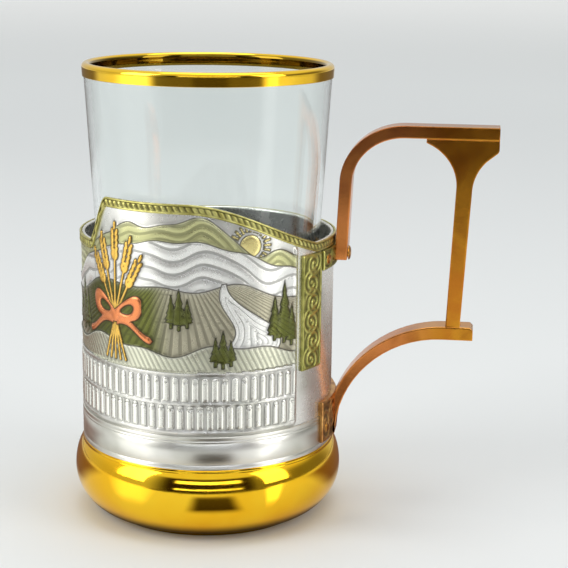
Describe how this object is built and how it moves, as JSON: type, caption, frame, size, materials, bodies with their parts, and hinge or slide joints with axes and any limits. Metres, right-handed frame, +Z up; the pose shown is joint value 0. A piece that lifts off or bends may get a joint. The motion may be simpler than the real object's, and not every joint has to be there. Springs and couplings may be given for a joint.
{
  "type": "podstakannik tea glass holder",
  "caption": "Tea glass holder: metal sleeve with a raised front crest on a bulged foot, a bent strip handle with a thumb rest, and a tapered glass that lifts out.",
  "frame": {"origin": "on the sleeve's axis, in the plane of the table that the foot's bead stands on", "axes": "+Z up along the sleeve's axis, +X from the axis towards the handle, -Y towards the raised front crest"},
  "size_m": [0.116, 0.0748, 0.1245],
  "materials": {
    "nickel": "polished nickel plate",
    "gilt": "old gilding, olive gold",
    "foot_gold": "mirror polished gilding",
    "handle_gold": "polished brass, brownish gold",
    "steel": "plain steel",
    "clear_glass": "clear, polished",
    "lip_gold": "bright burnished gold"
  },
  "bodies": {
    "holder": {"sleeve": "nickel", "border_strip": "gilt", "joint_collar": "nickel", "floor_plate": "nickel", "foot_shell": "foot_gold", "centre_screw": "steel", "centre_washer": "steel", "centre_nut": "steel", "handle_hoop": "handle_gold", "handle_grip": "handle_gold", "handle_arm": "handle_gold", "upper_pad": "gilt", "lower_pad": "gilt", "hoop_rivet": "handle_gold", "upper_pad_rivets": "gilt", "lower_pad_rivets": "gilt", "pilaster_near": "gilt", "pilaster_far": "gilt"},
    "glass": {"glass_tumbler": "clear_glass", "lip_band": "lip_gold"}
  },
  "joints": [
    {"name": "glass_lift", "type": "slide", "parent": "holder", "child": "glass", "axis": [0, 0, 1], "range_m": [0, 0.1]}
  ]
}
